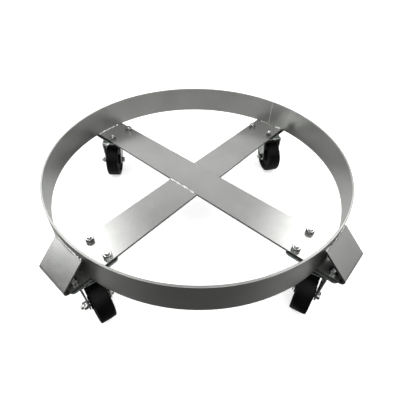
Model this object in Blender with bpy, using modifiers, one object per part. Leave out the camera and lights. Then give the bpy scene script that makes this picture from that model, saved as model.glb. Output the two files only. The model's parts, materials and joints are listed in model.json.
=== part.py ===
"""Drum dolly: a rolled steel ring on a cross of flat bars, carried by four swivel plate casters.

Metres, +Z up. The origin is on the floor under the middle of the ring. The through bar lies along X,
and the two half bars lie along Y and butt against its sides.
"""

import math

import bmesh
import bpy
from mathutils import Matrix

# Play left between two pieces that touch.
GAP = 0.0003

# Ring: a flat bar rolled on edge, which stands on the bars and holds the drum.
RING_INNER_RADIUS = 0.305
RING_THICKNESS = 0.004
RING_HEIGHT = 0.0635
RING_CHAMFER = 0.0006
RING_SEGMENTS = 96

# Bars: flat bars with both ends bent up and folded back onto the ring.
BAR_WIDTH = 0.0762
BAR_THICKNESS = 0.004
BAR_TOP = 0.113
BAR_REACH = 0.353
BEND_INNER_RADIUS = 0.004
BEND_STEPS = 7
FOLD_ANGLE = math.radians(43)

# Casters, one under each bar end.
KING_PIN_FROM_CENTRE = 0.2954
PLATE_LENGTH = 0.096
PLATE_WIDTH = 0.084
PLATE_THICKNESS = 0.003
PLATE_CORNER = 0.008
RACE_RADIUS = 0.028
RACE_BOSS_HEIGHT = 0.0022
BALL_DIAMETER = 0.0042
BALL_CIRCLE_RADIUS = 0.020
KING_PIN_RADIUS = 0.005
KING_PIN_FLANGE_RADIUS = 0.0085
KING_PIN_FLANGE_HEIGHT = 0.0015
KING_PIN_HEAD_RADIUS = 0.009
KING_PIN_HEAD_HEIGHT = 0.004

FORK_THICKNESS = 0.0025
FORK_HALF_WIDTH = 0.0215
FORK_CROWN_HALF_WIDTH = 0.0245
FORK_STRAIGHT_ABOVE_AXLE = 0.013
FORK_BEND_RADIUS = 0.004
FORK_FRONT = 0.042
FORK_REAR = 0.014
FORK_FOOT_RADIUS = 0.011

WHEEL_RADIUS = 0.042
WHEEL_WIDTH = 0.030
WHEEL_SHOULDER = 0.003
WHEEL_SEGMENTS = 36
RIM_INNER_RADIUS = 0.033
WEB_HALF_WIDTH = 0.011
HUB_RADIUS = 0.0125
HUB_HALF_WIDTH = 0.0175
WEB_DRAFT = 0.002
TRAIL = 0.038

# Fasteners: 3/8 inch bolts hold the plates and 5/16 inch bolts are the axles.
PLATE_BOLT_SPACING_ALONG = 0.070
PLATE_BOLT_SPACING_ACROSS = 0.053
PLATE_BOLT_RADIUS = 0.00476
PLATE_BOLT_FLATS = 0.0143
PLATE_BOLT_HEAD_HEIGHT = 0.006
PLATE_NUT_HEIGHT = 0.0082
PLATE_BOLT_END = 0.0035
PLATE_HOLE_RADIUS = 0.0053
AXLE_RADIUS = 0.004
AXLE_FLATS = 0.0127
AXLE_HEAD_HEIGHT = 0.0053
AXLE_NUT_HEIGHT = 0.0075
AXLE_BOLT_END = 0.0045
AXLE_HOLE_RADIUS = AXLE_RADIUS + GAP
SLEEVE_INNER_RADIUS = 0.0044
SLEEVE_OUTER_RADIUS = 0.0062
SLEEVE_HALF_LENGTH = 0.0186
ROUND_SEGMENTS = 16
HOLE_SEGMENTS = 12
SMOOTH_ANGLE = math.radians(40)
MERGE_DISTANCE = 0.00001

# Heights that follow from the stack of bar, plate, balls and fork.
RING_OUTER_RADIUS = RING_INNER_RADIUS + RING_THICKNESS
RING_BOTTOM = BAR_TOP + GAP
BAR_BOTTOM = BAR_TOP - BAR_THICKNESS
PLATE_TOP = BAR_BOTTOM - GAP
PLATE_BOTTOM = PLATE_TOP - PLATE_THICKNESS
RACE_BOTTOM = PLATE_BOTTOM - RACE_BOSS_HEIGHT
BALL_CENTRE = RACE_BOTTOM - GAP - BALL_DIAMETER / 2
CROWN_TOP = BALL_CENTRE - BALL_DIAMETER / 2 - GAP
CROWN_BOTTOM = CROWN_TOP - FORK_THICKNESS

# Direction of each arm from the middle, and the way its caster trails at rest, in degrees from +X.
SIDES = {
    "right": (0, -78.5),
    "back": (90, -36.0),
    "left": (180, -46.5),
    "front": (270, -12.0),
}

# Base colour, roughness and metallic value of each finish.
FINISHES = {
    "powder_coat": ((0.46, 0.46, 0.45), 0.42, 0.75),
    "zinc_plate": ((0.62, 0.63, 0.60), 0.28, 1.0),
    "steel": ((0.50, 0.50, 0.50), 0.35, 1.0),
    "black_rubber": ((0.012, 0.012, 0.013), 0.45, 0.0),
}


# ---------------------------------------------------------------- scene and helpers


def empty_scene():
    for obj in list(bpy.data.objects):
        bpy.data.objects.remove(obj, do_unlink=True)


def new_collection(name):
    collection = bpy.data.collections.new(name)
    bpy.context.scene.collection.children.link(collection)
    return collection


def material_for(piece_name, finish):
    colour, roughness, metallic = FINISHES[finish]
    material = bpy.data.materials.new(f"{piece_name}_{finish}")
    material.use_nodes = True
    shader = material.node_tree.nodes["Principled BSDF"]
    shader.inputs["Base Color"].default_value = (*colour, 1.0)
    shader.inputs["Roughness"].default_value = roughness
    shader.inputs["Metallic"].default_value = metallic
    return material


def arc(centre, radius, start, end, steps):
    """Points on an arc, both ends included, with angles in radians."""
    angles = [start + (end - start) * step / steps for step in range(steps + 1)]
    return [(centre[0] + radius * math.cos(a), centre[1] + radius * math.sin(a)) for a in angles]


def scratch_object(name, data):
    """A working solid or cutter, which is removed once it has been used."""
    obj = bpy.data.objects.new(name, data)
    obj.display_type = "WIRE"
    obj.hide_render = True
    bpy.data.collections["cutters"].objects.link(obj)
    return obj


def baked(obj):
    """Turns an object with its modifiers, or a curve, into a plain closed mesh object."""
    graph = bpy.context.evaluated_depsgraph_get()
    mesh = bpy.data.meshes.new_from_object(obj.evaluated_get(graph))
    work = bmesh.new()
    work.from_mesh(mesh)
    bmesh.ops.remove_doubles(work, verts=work.verts, dist=MERGE_DISTANCE)
    bmesh.ops.recalc_face_normals(work, faces=work.faces)
    work.to_mesh(mesh)
    work.free()
    result = scratch_object(obj.name, mesh)
    result.matrix_world = obj.matrix_world
    bpy.data.objects.remove(obj, do_unlink=True)
    return result


def prism(name, outline, depth, placing):
    """A flat outline in X and Y with a thickness, turned into the part's axes by the placing."""
    curve = bpy.data.curves.new(name, "CURVE")
    curve.dimensions = "2D"
    curve.fill_mode = "BOTH"
    curve.extrude = depth / 2
    spline = curve.splines.new("POLY")
    spline.points.add(len(outline) - 1)
    for point, (x, y) in zip(spline.points, outline):
        point.co = (x, y, 0, 1)
    spline.use_cyclic_u = True
    solid = baked(scratch_object(name, curve))
    solid.data.transform(placing)
    return solid


def turned(name, profile, segments, closed=False):
    """A profile of (radius, height) points, listed down its outer side, turned about Z."""
    mesh = bpy.data.meshes.new(name)
    count = len(profile)
    edges = [(i, i + 1) for i in range(count - 1)]
    if closed:
        edges.append((count - 1, 0))
    mesh.from_pydata([(radius, 0, height) for radius, height in profile], edges, [])
    obj = scratch_object(name, mesh)
    screw = obj.modifiers.new("turn", "SCREW")
    screw.steps = segments
    screw.render_steps = segments
    screw.use_merge_vertices = True
    screw.merge_threshold = MERGE_DISTANCE
    return baked(obj)


def cylinder(name, radius, depth, segments, placing):
    mesh = bpy.data.meshes.new(name)
    work = bmesh.new()
    bmesh.ops.create_cone(
        work, cap_ends=True, segments=segments, radius1=radius, radius2=radius, depth=depth, matrix=placing
    )
    work.to_mesh(mesh)
    work.free()
    return scratch_object(name, mesh)


def hexagon(name, flats, depth, placing):
    return cylinder(name, flats / math.sqrt(3), depth, 6, placing)


def combined(base, tool, operation):
    """Joins, cuts or intersects the base with the tool, and removes the tool."""
    boolean = base.modifiers.new(operation.lower(), "BOOLEAN")
    boolean.operation = operation
    boolean.object = tool
    bpy.context.view_layer.update()
    result = baked(base)
    bpy.data.objects.remove(tool, do_unlink=True)
    return result


def shaded(obj):
    obj.data.shade_smooth()
    obj.data.set_sharp_from_angle(angle=SMOOTH_ANGLE)
    return obj


def place(collection, name, mesh, finish, parent=None, matrix=None):
    """One named node from a finished mesh, which its twins may share."""
    obj = bpy.data.objects.new(name, mesh)
    obj.parent = parent
    obj.matrix_local = matrix or Matrix()
    collection.objects.link(obj)
    if not mesh.materials:
        mesh.materials.append(None)
    obj.material_slots[0].link = "OBJECT"
    obj.material_slots[0].material = material_for(name, finish)
    return obj


def mesh_of(obj):
    """The object's mesh, ready to be shared, with the working object removed."""
    mesh = shaded(obj).data
    bpy.data.objects.remove(obj, do_unlink=True)
    return mesh


# Outline X and Y become the part's X and Z, and the thickness runs along Y.
SIDE_VIEW = Matrix.Rotation(math.pi / 2, 4, "X")
# Outline X and Y become the part's Y and Z, and the thickness runs along X.
END_VIEW = Matrix(((0, 0, 1, 0), (1, 0, 0, 0), (0, 1, 0, 0), (0, 0, 0, 1)))
# The turned axis Z becomes the axle's axis Y.
ALONG_AXLE = Matrix.Rotation(-math.pi / 2, 4, "X")


def at(x, y, z):
    return Matrix.Translation((x, y, z))


# ---------------------------------------------------------------- ring and bars


def ring_mesh():
    top = RING_BOTTOM + RING_HEIGHT
    outer, inner, c = RING_OUTER_RADIUS, RING_INNER_RADIUS, RING_CHAMFER
    profile = [(outer - c, top), (outer, top - c), (outer, RING_BOTTOM + c), (outer - c, RING_BOTTOM)]
    profile += [(inner + c, RING_BOTTOM), (inner, RING_BOTTOM + c), (inner, top - c), (inner + c, top)]
    return mesh_of(turned("ring", profile, RING_SEGMENTS, closed=True))


def arm_end():
    """Side view of an arm's end from its bottom to its top, out round the bend and up the fold.

    The fold is cut upright, so that its whole end faces the ring.
    """
    outer_radius = BEND_INNER_RADIUS + BAR_THICKNESS
    centre = (BAR_REACH - outer_radius, BAR_TOP + BEND_INNER_RADIUS)
    fold_start = math.pi / 2 - FOLD_ANGLE
    outside = arc(centre, outer_radius, -math.pi / 2, fold_start, BEND_STEPS)
    inside = arc(centre, BEND_INNER_RADIUS, fold_start, -math.pi / 2, BEND_STEPS)
    end_x = RING_OUTER_RADIUS + GAP
    steepness = math.tan(FOLD_ANGLE)
    outside_end = (end_x, outside[-1][1] + (outside[-1][0] - end_x) * steepness)
    inside_end = (end_x, inside[0][1] + (inside[0][0] - end_x) * steepness)
    return outside + [outside_end, inside_end] + inside


def bolt_places():
    """The four plate bolts, along and across the arm from the king pin."""
    along = PLATE_BOLT_SPACING_ALONG / 2
    across = PLATE_BOLT_SPACING_ACROSS / 2
    return [(along, across), (along, -across), (-along, across), (-along, -across)]


def drilled_bar(bar, directions):
    """Drills the caster holes, for each arm direction (+1 or -1 along X)."""
    for direction in directions:
        for along, across in bolt_places():
            x = direction * (KING_PIN_FROM_CENTRE + along)
            hole = at(x, across, BAR_TOP - BAR_THICKNESS / 2)
            drill = cylinder("drill", PLATE_HOLE_RADIUS, 3 * BAR_THICKNESS, HOLE_SEGMENTS, hole)
            bar = combined(bar, drill, "DIFFERENCE")
    return mesh_of(bar)


def cross_bar_mesh():
    right = arm_end()
    left = [(-x, z) for x, z in reversed(right)]
    return drilled_bar(prism("cross_bar", right + left, BAR_WIDTH, SIDE_VIEW), (1, -1))


def half_bar_mesh():
    """A half bar along +X, which starts beside the through bar."""
    start = BAR_WIDTH / 2 + GAP
    outline = [(start, BAR_BOTTOM)] + arm_end() + [(start, BAR_TOP)]
    return drilled_bar(prism("half_bar", outline, BAR_WIDTH, SIDE_VIEW), (1,))


# ---------------------------------------------------------------- caster pieces


def rounded_rectangle(length, width, corner, steps):
    outline = []
    for quarter in range(4):
        sign_x = 1 if quarter in (0, 3) else -1
        sign_y = 1 if quarter in (0, 1) else -1
        centre = (sign_x * (length / 2 - corner), sign_y * (width / 2 - corner))
        start = quarter * math.pi / 2
        outline += arc(centre, corner, start, start + math.pi / 2, steps)
    return outline


def top_plate_mesh():
    """Plate with a round race boss below, a sunk seat for the king pin's flange, and four bolt holes."""
    middle = at(0, 0, (PLATE_TOP + PLATE_BOTTOM) / 2)
    outline = rounded_rectangle(PLATE_LENGTH, PLATE_WIDTH, PLATE_CORNER, 3)
    plate = prism("top_plate", outline, PLATE_THICKNESS, middle)
    boss_height = PLATE_THICKNESS / 2 + RACE_BOSS_HEIGHT
    boss = cylinder("boss", RACE_RADIUS, boss_height, 24, at(0, 0, RACE_BOTTOM + boss_height / 2))
    plate = combined(plate, boss, "UNION")
    seat_depth = KING_PIN_FLANGE_HEIGHT + 2 * GAP
    seat = cylinder("seat", KING_PIN_FLANGE_RADIUS + GAP, 2 * seat_depth, ROUND_SEGMENTS, at(0, 0, PLATE_TOP))
    plate = combined(plate, seat, "DIFFERENCE")
    bore = cylinder("bore", KING_PIN_RADIUS + GAP, 4 * PLATE_THICKNESS, ROUND_SEGMENTS, middle)
    plate = combined(plate, bore, "DIFFERENCE")
    for along, across in bolt_places():
        hole = middle @ at(along, across, 0)
        drill = cylinder("drill", PLATE_HOLE_RADIUS, 3 * PLATE_THICKNESS, HOLE_SEGMENTS, hole)
        plate = combined(plate, drill, "DIFFERENCE")
    return mesh_of(plate)


def ball_race_mesh():
    """The row of balls between plate and fork, as one ring."""
    bpy.ops.mesh.primitive_torus_add(
        major_segments=20,
        minor_segments=6,
        major_radius=BALL_CIRCLE_RADIUS,
        minor_radius=BALL_DIAMETER / 2,
        location=(0, 0, 0),
    )
    race = bpy.context.object
    race.data.transform(at(0, 0, BALL_CENTRE))
    return mesh_of(race)


def king_pin_mesh():
    top = PLATE_TOP - GAP
    neck = top - KING_PIN_FLANGE_HEIGHT
    head = CROWN_BOTTOM - GAP
    foot = head - KING_PIN_HEAD_HEIGHT
    profile = [(0, top), (KING_PIN_FLANGE_RADIUS, top), (KING_PIN_FLANGE_RADIUS, neck)]
    profile += [(KING_PIN_RADIUS, neck), (KING_PIN_RADIUS, head)]
    profile += [(KING_PIN_HEAD_RADIUS, head), (KING_PIN_HEAD_RADIUS, foot), (0, foot)]
    return mesh_of(turned("king_pin", profile, ROUND_SEGMENTS))


def tangent_angle(point, centre, radius, side):
    """Angle at which a line from the point touches the circle, on the side given by +1 or -1."""
    dx, dy = point[0] - centre[0], point[1] - centre[1]
    return math.atan2(dy, dx) + side * math.acos(radius / math.hypot(dx, dy))


def fork_side_outline():
    """A leg seen from the side: level crown on top, tapering to a round foot about the axle."""
    axle = (TRAIL, WHEEL_RADIUS)
    rear_top = (-FORK_REAR, CROWN_TOP)
    front_top = (FORK_FRONT, CROWN_TOP)
    front_angle = tangent_angle(front_top, axle, FORK_FOOT_RADIUS, -1)
    rear_angle = tangent_angle(rear_top, axle, FORK_FOOT_RADIUS, 1) - 2 * math.pi
    return [rear_top, front_top] + arc(axle, FORK_FOOT_RADIUS, front_angle, rear_angle, 8)


def fork_channel_outline():
    """The fork's bent sheet seen from the front: an upside-down U whose legs close in towards the axle."""
    leg_end = WHEEL_RADIUS - 2 * FORK_FOOT_RADIUS
    splay_start = WHEEL_RADIUS + FORK_STRAIGHT_ABOVE_AXLE
    shoulder = FORK_CROWN_HALF_WIDTH - FORK_BEND_RADIUS
    height = CROWN_TOP - FORK_BEND_RADIUS
    inner_width = FORK_HALF_WIDTH - FORK_THICKNESS
    inner_radius = FORK_BEND_RADIUS - FORK_THICKNESS
    outside = [(FORK_HALF_WIDTH, leg_end), (FORK_HALF_WIDTH, splay_start)]
    outside += arc((shoulder, height), FORK_BEND_RADIUS, 0, math.pi / 2, 3)
    inside = [(inner_width, leg_end), (inner_width, splay_start)]
    inside += arc((shoulder, height), inner_radius, 0, math.pi / 2, 3)
    other_outside = [(-x, z) for x, z in reversed(outside)]
    other_inside = [(-x, z) for x, z in inside]
    return outside + other_outside + other_inside + inside[::-1]


def fork_mesh():
    """Pressed fork: a round crown that swivels on the king pin, and two legs that hold the axle."""
    fork = prism("fork", fork_channel_outline(), 4 * FORK_FRONT, END_VIEW)
    side = prism("side", fork_side_outline(), 4 * FORK_HALF_WIDTH, SIDE_VIEW)
    fork = combined(fork, side, "INTERSECT")
    crown = cylinder("crown", RACE_RADIUS, FORK_THICKNESS, 24, at(0, 0, (CROWN_TOP + CROWN_BOTTOM) / 2))
    fork = combined(fork, crown, "UNION")
    bore = cylinder("bore", KING_PIN_RADIUS + GAP, 4 * FORK_THICKNESS, ROUND_SEGMENTS, at(0, 0, CROWN_TOP))
    fork = combined(fork, bore, "DIFFERENCE")
    axle_place = at(TRAIL, 0, WHEEL_RADIUS) @ ALONG_AXLE
    axle_hole = cylinder("axle_hole", AXLE_HOLE_RADIUS, 4 * FORK_HALF_WIDTH, HOLE_SEGMENTS, axle_place)
    fork = combined(fork, axle_hole, "DIFFERENCE")
    return mesh_of(fork)


def wheel_mesh():
    """Solid wheel about its own centre, with a round-shouldered tread, a thinner web and a hub."""
    half = WHEEL_WIDTH / 2
    shoulder_centre = (WHEEL_RADIUS - WHEEL_SHOULDER, half - WHEEL_SHOULDER)
    upper = arc(shoulder_centre, WHEEL_SHOULDER, 0, math.pi / 2, 3)
    upper += [(RIM_INNER_RADIUS, half), (RIM_INNER_RADIUS - WEB_DRAFT, WEB_HALF_WIDTH)]
    upper += [(HUB_RADIUS + WEB_DRAFT, WEB_HALF_WIDTH), (HUB_RADIUS, HUB_HALF_WIDTH)]
    upper += [(SLEEVE_OUTER_RADIUS + GAP, HUB_HALF_WIDTH)]
    lower = [(radius, -height) for radius, height in upper]
    profile = list(reversed(upper)) + lower
    wheel = turned("wheel", profile, WHEEL_SEGMENTS, closed=True)
    wheel.data.transform(ALONG_AXLE)
    return mesh_of(wheel)


def axle_sleeve_mesh():
    inner, outer, half = SLEEVE_INNER_RADIUS, SLEEVE_OUTER_RADIUS, SLEEVE_HALF_LENGTH
    profile = [(outer, half), (outer, -half), (inner, -half), (inner, half)]
    sleeve = turned("axle_sleeve", profile, ROUND_SEGMENTS, closed=True)
    sleeve.data.transform(ALONG_AXLE)
    return mesh_of(sleeve)


def axle_bolt_mesh():
    """Axle bolt about the wheel's centre, with its head outside one fork leg and its end past the nut."""
    head_start = FORK_HALF_WIDTH + GAP
    end = -(FORK_HALF_WIDTH + GAP + AXLE_NUT_HEIGHT + AXLE_BOLT_END)
    head = hexagon("head", AXLE_FLATS, AXLE_HEAD_HEIGHT, at(0, 0, head_start + AXLE_HEAD_HEIGHT / 2))
    top = head_start + AXLE_HEAD_HEIGHT / 2
    shank = cylinder("shank", AXLE_RADIUS, top - end, HOLE_SEGMENTS, at(0, 0, (top + end) / 2))
    bolt = combined(head, shank, "UNION")
    bolt.data.transform(ALONG_AXLE)
    return mesh_of(bolt)


def axle_nut_mesh():
    nut_middle = at(0, 0, -(FORK_HALF_WIDTH + GAP + AXLE_NUT_HEIGHT / 2))
    nut = hexagon("nut", AXLE_FLATS, AXLE_NUT_HEIGHT, nut_middle)
    thread = cylinder("thread", AXLE_HOLE_RADIUS, 4 * FORK_HALF_WIDTH, HOLE_SEGMENTS, Matrix())
    nut = combined(nut, thread, "DIFFERENCE")
    nut.data.transform(ALONG_AXLE)
    return mesh_of(nut)


def plate_bolt_mesh():
    """Bolt with its head under the caster plate and its nut, tightened on the shank, on top of the bar."""
    head_top = PLATE_BOTTOM - GAP
    nut_bottom = BAR_TOP + GAP
    nut_top = nut_bottom + PLATE_NUT_HEIGHT
    shank_bottom = head_top - PLATE_BOLT_HEAD_HEIGHT / 2
    shank_top = nut_top + PLATE_BOLT_END
    head_middle = at(0, 0, head_top - PLATE_BOLT_HEAD_HEIGHT / 2)
    bolt = hexagon("head", PLATE_BOLT_FLATS, PLATE_BOLT_HEAD_HEIGHT, head_middle)
    shank_middle = at(0, 0, (shank_bottom + shank_top) / 2)
    shank = cylinder("shank", PLATE_BOLT_RADIUS, shank_top - shank_bottom, HOLE_SEGMENTS, shank_middle)
    bolt = combined(bolt, shank, "UNION")
    nut = hexagon("nut", PLATE_BOLT_FLATS, PLATE_NUT_HEIGHT, at(0, 0, (nut_bottom + nut_top) / 2))
    return mesh_of(combined(bolt, nut, "UNION"))


# ---------------------------------------------------------------- assembly


def pivot(collection, name, matrix):
    empty = bpy.data.objects.new(name, None)
    empty.matrix_world = matrix
    collection.objects.link(empty)
    return empty


def add_frame(collection):
    place(collection, "ring", ring_mesh(), "powder_coat")
    place(collection, "cross_bar", cross_bar_mesh(), "powder_coat")
    half_bar = half_bar_mesh()
    for side in ("front", "back"):
        turn = Matrix.Rotation(math.radians(SIDES[side][0]), 4, "Z")
        place(collection, f"{side}_half_bar", half_bar, "powder_coat", matrix=turn)


def add_casters(collection):
    fixed = {
        "top_plate": (top_plate_mesh(), "zinc_plate"),
        "king_pin": (king_pin_mesh(), "steel"),
    }
    swivelling = {
        "ball_race": (ball_race_mesh(), "steel"),
        "fork": (fork_mesh(), "zinc_plate"),
    }
    on_axle = {
        "axle_sleeve": (axle_sleeve_mesh(), "steel"),
        "axle_bolt": (axle_bolt_mesh(), "zinc_plate"),
        "axle_nut": (axle_nut_mesh(), "zinc_plate"),
    }
    wheel = wheel_mesh()
    plate_bolt = plate_bolt_mesh()
    for side, (arm_degrees, trail_degrees) in SIDES.items():
        arm = Matrix.Rotation(math.radians(arm_degrees), 4, "Z")
        king_pin = arm @ at(KING_PIN_FROM_CENTRE, 0, 0)
        mount = pivot(collection, f"{side}_mount", king_pin)
        trail = Matrix.Translation(king_pin.translation) @ Matrix.Rotation(math.radians(trail_degrees), 4, "Z")
        swivel = pivot(collection, f"{side}_swivel", trail)
        for piece, (mesh, finish) in fixed.items():
            place(collection, f"{side}_{piece}", mesh, finish, mount)
        for number, (along, across) in enumerate(bolt_places(), start=1):
            name = f"{side}_plate_bolt_{number}"
            place(collection, name, plate_bolt, "zinc_plate", mount, at(along, across, 0))
        for piece, (mesh, finish) in swivelling.items():
            place(collection, f"{side}_{piece}", mesh, finish, swivel)
        axle = at(TRAIL, 0, WHEEL_RADIUS)
        for piece, (mesh, finish) in on_axle.items():
            place(collection, f"{side}_{piece}", mesh, finish, swivel, axle)
        place(collection, f"{side}_wheel", wheel, "black_rubber", swivel, axle)


def main():
    empty_scene()
    new_collection("cutters")
    collection = new_collection("drum_dolly")
    add_frame(collection)
    add_casters(collection)


main()
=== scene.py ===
"""Drum dolly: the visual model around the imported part, and the studio it stands in.

Metres, +Z up, in the part's own frame: the origin is on the floor under the middle of the ring.
"""

import json
import math
import random

import bmesh
import bpy
from mathutils import Matrix, Vector, noise


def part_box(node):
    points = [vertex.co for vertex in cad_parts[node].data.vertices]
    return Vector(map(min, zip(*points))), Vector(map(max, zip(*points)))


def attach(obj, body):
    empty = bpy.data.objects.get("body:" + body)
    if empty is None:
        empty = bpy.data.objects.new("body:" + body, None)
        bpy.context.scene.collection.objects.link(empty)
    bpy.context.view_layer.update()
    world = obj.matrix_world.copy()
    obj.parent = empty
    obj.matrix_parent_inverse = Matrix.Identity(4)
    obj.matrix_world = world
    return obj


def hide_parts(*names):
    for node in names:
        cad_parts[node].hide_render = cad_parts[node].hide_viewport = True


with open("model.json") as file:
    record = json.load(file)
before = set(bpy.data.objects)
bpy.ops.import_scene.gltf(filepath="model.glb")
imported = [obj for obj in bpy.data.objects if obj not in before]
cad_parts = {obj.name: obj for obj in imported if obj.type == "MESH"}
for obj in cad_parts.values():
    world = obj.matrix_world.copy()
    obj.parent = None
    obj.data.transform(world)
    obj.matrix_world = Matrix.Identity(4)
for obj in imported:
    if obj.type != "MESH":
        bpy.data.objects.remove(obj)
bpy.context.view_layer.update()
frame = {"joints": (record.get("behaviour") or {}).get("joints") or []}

MM = 0.001
SIDES = ("right", "back", "left", "front")

# Ring and bars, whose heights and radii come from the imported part.
RING_LOW, RING_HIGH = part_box("ring")
RING_OUTER = RING_HIGH.x
RING_THICK = 4 * MM
RING_INNER = RING_OUTER - RING_THICK
BAR_LOW, BAR_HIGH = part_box("cross_bar")
BAR_REACH = BAR_HIGH.x
BAR_HALF = BAR_HIGH.y
BAR_BOTTOM = BAR_LOW.z
BAR_THICK = 4 * MM
BAR_TOP = BAR_BOTTOM + BAR_THICK
BEND_RADIUS = 4 * MM
FOLD_ANGLE = math.radians(43)
PLATE_LOW, PLATE_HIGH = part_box("right_top_plate")
PLATE_THICK = 3 * MM
PLATE_BOTTOM = PLATE_HIGH.z - PLATE_THICK
CROWN_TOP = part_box("right_fork")[1].z
FORK_THICK = 2.5 * MM
FORK_HALF = 21.5 * MM
FORK_CROWN_HALF = 24.5 * MM
FORK_STRAIGHT = 13 * MM
FORK_BEND = 4 * MM
FORK_FRONT = 42 * MM
FORK_REAR = 14 * MM
FOOT_RADIUS = 11 * MM
WHEEL_RADIUS = 42 * MM
WHEEL_HALF = 15 * MM
HUB_HALF = 17.5 * MM
PIN_HOLE = 5.4 * MM
# Pieces that touch stand this far apart, as they do in the CAD model.
GAP = 0.3 * MM


def joints_by_side(kind):
    """The part's joints of one kind, by the side of the dolly that they are on."""
    return {j["name"].removesuffix(kind): j for j in frame["joints"] if j["name"].endswith(kind)}


swivels = joints_by_side("_swivel")
spins = joints_by_side("_wheel_spin")


# ---------------------------------------------------------------- mesh helpers


def arc(centre, radius, start, end, steps):
    angles = [start + (end - start) * i / steps for i in range(steps + 1)]
    return [(centre[0] + radius * math.cos(a), centre[1] + radius * math.sin(a)) for a in angles]


def rounded_box(half_x, half_y, corner, steps=3, support=0.4 * MM):
    """A closed outline with rounded corners, and a point a little way along each straight side."""
    outline = []
    for quarter, (sx, sy) in enumerate(((1, 1), (-1, 1), (-1, -1), (1, -1))):
        centre = (sx * (half_x - corner), sy * (half_y - corner))
        start = quarter * math.pi / 2
        corner_points = arc(centre, corner, start, start + math.pi / 2, steps)
        before, after = corner_points[0], corner_points[-1]
        along = [(0, -sy * support), (-sx * support, 0)]
        if quarter % 2:
            along.reverse()
        corner_points.insert(0, (before[0] + along[0][0], before[1] + along[0][1]))
        corner_points.append((after[0] + along[1][0], after[1] + along[1][1]))
        outline += corner_points
    return outline


def mesh_from(name, points, faces, sharp=40):
    mesh = bpy.data.meshes.new(name)
    mesh.from_pydata([tuple(p) for p in points], [], faces)
    work = bmesh.new()
    work.from_mesh(mesh)
    bmesh.ops.remove_doubles(work, verts=work.verts, dist=1e-6)
    bmesh.ops.recalc_face_normals(work, faces=work.faces)
    work.to_mesh(mesh)
    work.free()
    mesh.shade_smooth()
    mesh.set_sharp_from_angle(angle=math.radians(sharp))
    return mesh


def loft(name, loops, closed=False, capped=True, sharp=40):
    """Skin through loops of equal length, with its two ends capped unless the loops go round."""
    count = len(loops[0])
    points = [p for loop in loops for p in loop]
    faces = []
    pairs = len(loops) if closed else len(loops) - 1
    for i in range(pairs):
        a, b = i * count, (i + 1) % len(loops) * count
        faces += [(a + k, a + (k + 1) % count, b + (k + 1) % count, b + k) for k in range(count)]
    if capped and not closed:
        faces.append(tuple(range(count)))
        faces.append(tuple(reversed(range(len(points) - count, len(points)))))
    return mesh_from(name, points, faces, sharp)


def turned(name, profile, segments, closed=False, sharp=40):
    """A profile of (radius, height) turned about Z."""
    loops = []
    for i in range(segments):
        a = 2 * math.pi * i / segments
        loops.append([(r * math.cos(a), r * math.sin(a), h) for r, h in profile])
    count = len(profile)
    faces = []
    for i in range(segments):
        a, b = i * count, (i + 1) % segments * count
        rows = count if closed else count - 1
        faces += [(a + k, b + k, b + (k + 1) % count, a + (k + 1) % count) for k in range(rows)]
    return mesh_from(name, [p for loop in loops for p in loop], faces, sharp)


def joined(name, meshes, sharp=40):
    """Several closed shells as one mesh."""
    work = bmesh.new()
    for mesh in meshes:
        work.from_mesh(mesh)
    mesh = bpy.data.meshes.new(name)
    work.to_mesh(mesh)
    work.free()
    for used in meshes:
        bpy.data.meshes.remove(used)
    mesh.shade_smooth()
    mesh.set_sharp_from_angle(angle=math.radians(sharp))
    return mesh


def moved(mesh, matrix):
    mesh.transform(matrix)
    if matrix.determinant() < 0:
        mesh.flip_normals()
    return mesh


def painted(mesh, finish, other_finish, is_other):
    """Gives a mesh two finishes: the second on the faces whose middles pass the test."""
    mesh.materials.append(MATERIALS[finish])
    mesh.materials.append(MATERIALS[other_finish])
    for face in mesh.polygons:
        face.material_index = int(is_other(face.center))
    return mesh


def at(x, y, z):
    return Matrix.Translation((x, y, z))


def about_z(degrees):
    return Matrix.Rotation(math.radians(degrees), 4, "Z")


ALONG_AXLE = Matrix.Rotation(-math.pi / 2, 4, "X")


def piece(name, mesh, body, finish, nodes=(), matrix=None):
    """One shown piece, which rides on a body and stands for the nodes named."""
    obj = bpy.data.objects.new(name, mesh)
    obj.matrix_world = matrix or Matrix()
    bpy.context.scene.collection.objects.link(obj)
    if not mesh.materials:
        mesh.materials.append(MATERIALS[finish])
    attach(obj, body)
    if nodes:
        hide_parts(*nodes)
    return obj


# ---------------------------------------------------------------- materials


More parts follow.
